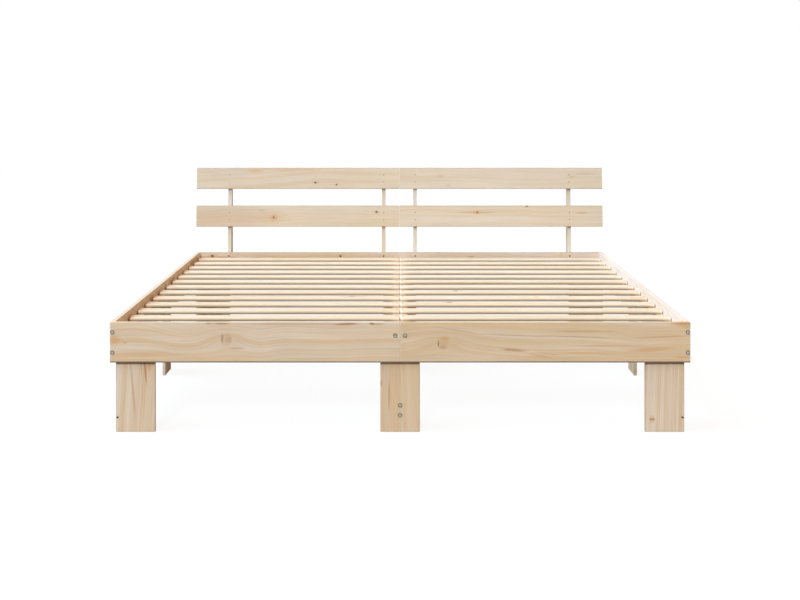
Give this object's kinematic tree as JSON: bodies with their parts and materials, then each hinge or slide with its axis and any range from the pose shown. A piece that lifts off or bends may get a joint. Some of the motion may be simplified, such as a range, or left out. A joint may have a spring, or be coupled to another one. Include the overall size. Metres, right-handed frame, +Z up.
{
  "type": "double bed frame",
  "caption": "Low double bed frame in bare solid pine: boxed rails on board legs, a slatted base in two halves and a slim headboard of horizontal boards that leans back.",
  "frame": {"origin": "on the floor, under the middle of the whole part", "axes": "+Z up, +Y towards the headboard, +X to the right when seen from the foot"},
  "size_m": [2.063, 2.1274, 0.8191],
  "materials": {
    "rail_pine": "planed and sanded, unfinished",
    "leg_pine": "planed and sanded, unfinished",
    "bearer_pine": "planed and sanded, unfinished",
    "slat_pine": "planed and sanded, unfinished",
    "headboard_pine": "planed and sanded, unfinished",
    "post_pine": "planed and sanded, unfinished",
    "bolt_steel": "zinc plated",
    "nut_steel": "zinc plated",
    "screw_steel": "zinc plated"
  },
  "bodies": {
    "root": {"foot_rail_left": "rail_pine", "foot_rail_right": "rail_pine", "head_rail_left": "rail_pine", "head_rail_right": "rail_pine", "side_rail_left": "rail_pine", "side_rail_right": "rail_pine", "foot_left_leg_face": "leg_pine", "foot_left_leg_return": "leg_pine", "foot_right_leg_face": "leg_pine", "foot_right_leg_return": "leg_pine", "head_left_leg_face": "leg_pine", "head_left_leg_return": "leg_pine", "head_right_leg_face": "leg_pine", "head_right_leg_return": "leg_pine", "side_leg_left": "leg_pine", "side_leg_right": "leg_pine", "foot_centre_leg_face": "leg_pine", "foot_centre_leg_rib": "leg_pine", "mid_centre_leg_face": "leg_pine", "mid_centre_leg_rib": "leg_pine", "head_centre_leg_face": "leg_pine", "head_centre_leg_rib": "leg_pine", "centre_beam": "bearer_pine", "slat_ledger_left": "bearer_pine", "slat_ledger_right": "bearer_pine", "slat_row_01": "slat_pine", "slat_row_02": "slat_pine", "slat_row_03": "slat_pine", "slat_row_04": "slat_pine", "slat_row_05": "slat_pine", "slat_row_06": "slat_pine", "slat_row_07": "slat_pine", "slat_row_08": "slat_pine", "slat_row_09": "slat_pine", "slat_row_10": "slat_pine", "slat_row_11": "slat_pine", "slat_row_12": "slat_pine", "slat_row_13": "slat_pine", "headboard_upper_left": "headboard_pine", "headboard_upper_right": "headboard_pine", "headboard_lower_left": "headboard_pine", "headboard_lower_right": "headboard_pine", "headboard_post_outer_left": "post_pine", "headboard_post_outer_right": "post_pine", "headboard_post_inner_left": "post_pine", "headboard_post_inner_right": "post_pine", "corner_bolts": "bolt_steel", "beam_bolts": "bolt_steel", "rib_bolts": "bolt_steel", "corner_barrel_nuts": "nut_steel", "beam_barrel_nuts": "nut_steel", "leg_joint_screws": "screw_steel", "leg_screws": "screw_steel", "beam_screws": "screw_steel", "ledger_screws": "screw_steel", "slat_screws": "screw_steel", "headboard_screws": "screw_steel", "post_screws": "screw_steel"}
  },
  "joints": []
}
